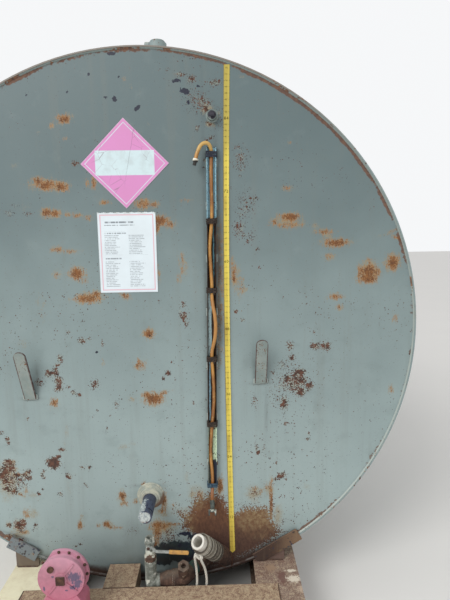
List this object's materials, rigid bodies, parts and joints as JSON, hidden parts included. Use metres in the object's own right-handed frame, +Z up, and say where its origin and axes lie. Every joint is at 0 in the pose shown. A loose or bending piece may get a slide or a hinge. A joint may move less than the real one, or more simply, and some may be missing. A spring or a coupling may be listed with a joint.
{
  "type": "horizontal storage tank",
  "caption": "Flat-ended horizontal steel storage tank on a beam skid, with outlet valve, rope-wound spout, sight hose and pump on its end.",
  "frame": {"origin": "on the floor under the middle of the skid and of the tank", "axes": "+Y along the tank's axis, the fitted end wall faces -Y, +X to the right of someone facing that wall, +Z up"},
  "size_m": [2.442, 5.587, 2.9233],
  "materials": {
    "tank_paint": "worn grey-green paint with rust patches",
    "red_oxide": "rusty red-oxide primer with pale dust",
    "pump_paint": "worn pink paint",
    "rusty_iron": "rusty cast iron",
    "pale_paint": "chipped cream paint",
    "navy_paint": "chipped navy paint",
    "rope": "laid white rope",
    "green_paint": "worn green paint",
    "zinc_iron": "dull galvanised finish with white bloom",
    "grip_vinyl": "worn yellow vinyl",
    "blue_paint": "chipped light blue paint",
    "clear_hose": "yellowed clear hose",
    "black_tape": "black tape and wire",
    "pale_plastic": "pale moulded plastic",
    "yellow_strip": "yellow printed strip",
    "pink_sheet": "faded pink printed sheet",
    "white_sheet": "white printed sheet"
  },
  "bodies": {
    "tank": {"front_head": "tank_paint", "rear_head": "tank_paint", "rim_welds": "tank_paint", "shell_front_course": "tank_paint", "shell_middle_course": "tank_paint", "shell_rear_course": "tank_paint", "girth_welds": "tank_paint", "runner_left": "red_oxide", "runner_right": "red_oxide", "front_cross_beam": "red_oxide", "rear_cross_beam": "red_oxide", "cross_members": "red_oxide", "saddle_plates": "red_oxide", "saddle_bars": "red_oxide", "saddle_wedges": "red_oxide", "stub_channel": "red_oxide", "pump_body": "pump_paint", "pump_cover": "pump_paint", "pump_plugs": "rusty_iron", "pump_foot": "pump_paint", "nozzle_collar": "pale_paint", "nozzle_pipe": "navy_paint", "outlet_coupling": "rusty_iron", "spout_boss": "rusty_iron", "spout_pipe": "pale_paint", "rope_coil": "rope", "rope_tail_left": "rope", "rope_tail_right": "rope", "branch_pipe": "green_paint", "side_tee": "rusty_iron", "bell_reducer": "rusty_iron", "pipe_elbow": "zinc_iron", "valve_reducer": "rusty_iron", "valve_body": "zinc_iron", "gauge_channel": "blue_paint", "sight_hose": "clear_hose", "hose_ties": "black_tape", "hose_tip": "pale_plastic", "cock_body": "zinc_iron", "scale_strip": "yellow_strip", "upper_plug": "rusty_iron", "hook_lugs": "tank_paint", "placard": "pink_sheet", "notice_sheet": "white_sheet", "manway_neck": "tank_paint", "manway_cover": "tank_paint", "vent": "tank_paint", "fill_pipe": "tank_paint", "lifting_lugs": "tank_paint"},
    "valve_lever": {"valve_lever": "zinc_iron", "lever_grip": "grip_vinyl"},
    "cock_handle": {"cock_handle": "zinc_iron"}
  },
  "joints": [
    {"name": "lever_turn", "type": "hinge", "parent": "tank", "child": "valve_lever", "pos_m": [-0.006, -2.5945, 0.4408], "axis": [0, -1, 0], "range_deg": [0, 90]},
    {"name": "cock_turn", "type": "hinge", "parent": "tank", "child": "cock_handle", "pos_m": [0.277, -2.4805, 0.54033], "axis": [0, -1, 0], "range_deg": [0, 90]}
  ]
}
